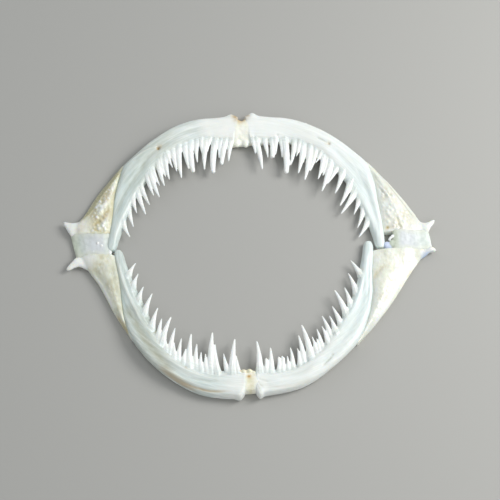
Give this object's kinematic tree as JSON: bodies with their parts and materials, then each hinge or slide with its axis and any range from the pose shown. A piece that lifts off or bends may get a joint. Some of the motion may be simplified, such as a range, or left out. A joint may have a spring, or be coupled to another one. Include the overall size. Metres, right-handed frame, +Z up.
{
  "type": "anglerfish jaw ring",
  "caption": "Dried jaws of two monkfish set mouth to mouth as a flat toothed ring, for display or study.",
  "frame": {"origin": "under the centre of the ring, on the surface it lies on", "axes": "+X to the right corner of the ring, +Y from the near jaw to the far jaw, +Z up"},
  "size_m": [0.1607, 0.1387, 0.0065],
  "materials": {
    "upper_left_dentary": "dried bone and teeth, cool ivory, silky",
    "upper_left_articular": "dried bone, cream with amber stains, rough",
    "upper_right_dentary": "dried bone and teeth, cool ivory, silky",
    "upper_right_articular": "dried bone, cream with amber stains, rough",
    "lower_left_dentary": "dried bone and teeth, cool ivory, silky",
    "lower_left_articular": "dried bone, cream with amber stains, rough",
    "lower_right_dentary": "dried bone and teeth, cool ivory, silky",
    "lower_right_articular": "dried bone, cream with amber stains, rough",
    "left_joint": "dried translucent cartilage, grey, glossy",
    "right_joint": "dried translucent cartilage, grey, glossy",
    "upper_ligament": "dried ligament, cream to amber",
    "lower_ligament": "dried ligament, cream to amber"
  },
  "bodies": {
    "root": {"upper_left_dentary": "upper_left_dentary", "upper_left_articular": "upper_left_articular", "upper_right_dentary": "upper_right_dentary", "upper_right_articular": "upper_right_articular", "lower_left_dentary": "lower_left_dentary", "lower_left_articular": "lower_left_articular", "lower_right_dentary": "lower_right_dentary", "lower_right_articular": "lower_right_articular", "left_joint": "left_joint", "right_joint": "right_joint", "upper_ligament": "upper_ligament", "lower_ligament": "lower_ligament"}
  },
  "joints": []
}
